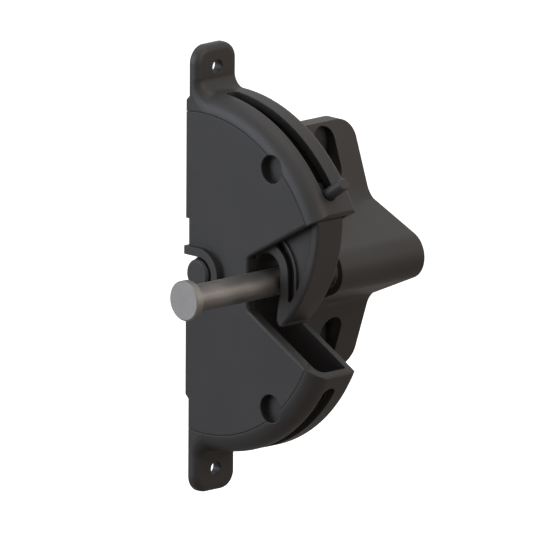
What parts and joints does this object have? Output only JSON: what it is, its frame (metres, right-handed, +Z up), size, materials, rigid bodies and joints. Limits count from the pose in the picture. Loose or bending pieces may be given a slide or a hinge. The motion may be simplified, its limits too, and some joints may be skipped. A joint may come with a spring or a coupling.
{
  "type": "gate latch",
  "caption": "Two-sided gravity gate latch: a D-shaped post housing with a notch and lifting hook pawl, and a gate bracket with a headed striker pin.",
  "frame": {"origin": "midway between the two tab screw holes, on the back plane of the tabs", "axes": "+X away from the post face, +Y along the striker pin towards the gate, +Z up"},
  "size_m": [0.0914, 0.1411, 0.208],
  "materials": {
    "housing_polymer": "fine moulded texture",
    "cover_polymer": "fine moulded texture",
    "pawl_polymer": "fine moulded texture",
    "axle_polymer": "fine moulded texture",
    "bracket_polymer": "fine moulded texture",
    "white_polymer": "plain",
    "bush_polymer": "plain",
    "brass": "turned",
    "screw_steel": "plated",
    "sleeve_steel": "turned",
    "set_screw_steel": "blackened",
    "stainless": "ground stainless"
  },
  "bodies": {
    "housing": {"housing_shell": "housing_polymer", "side_cover": "cover_polymer", "near_axle_bush": "bush_polymer", "far_axle_bush": "bush_polymer"},
    "pawl": {"pawl": "pawl_polymer", "pivot_axle": "axle_polymer", "axle_cross_pin": "screw_steel", "near_thrust_washer": "white_polymer", "far_thrust_washer": "white_polymer", "knob_insert": "brass", "release_knob": "pawl_polymer"},
    "striker": {"striker_bracket": "bracket_polymer", "bracket_back_plate": "bracket_polymer", "plate_screws": "screw_steel", "pin_sleeve": "sleeve_steel", "pin_set_screws": "set_screw_steel"},
    "pin": {"striker_pin": "stainless"}
  },
  "joints": [
    {"name": "pawl_lift", "type": "hinge", "parent": "housing", "child": "pawl", "pos_m": [0.0095, 0, 0], "axis": [0, -1, 0], "range_deg": [0, 50]},
    {"name": "striker_height", "type": "slide", "parent": "housing", "child": "striker", "axis": [0, 0, 1], "range_m": [-0.0028, 0.0028]},
    {"name": "pin_reach", "type": "slide", "parent": "striker", "child": "pin", "axis": [0, 1, 0], "range_m": [-0.01, 0.01]}
  ]
}
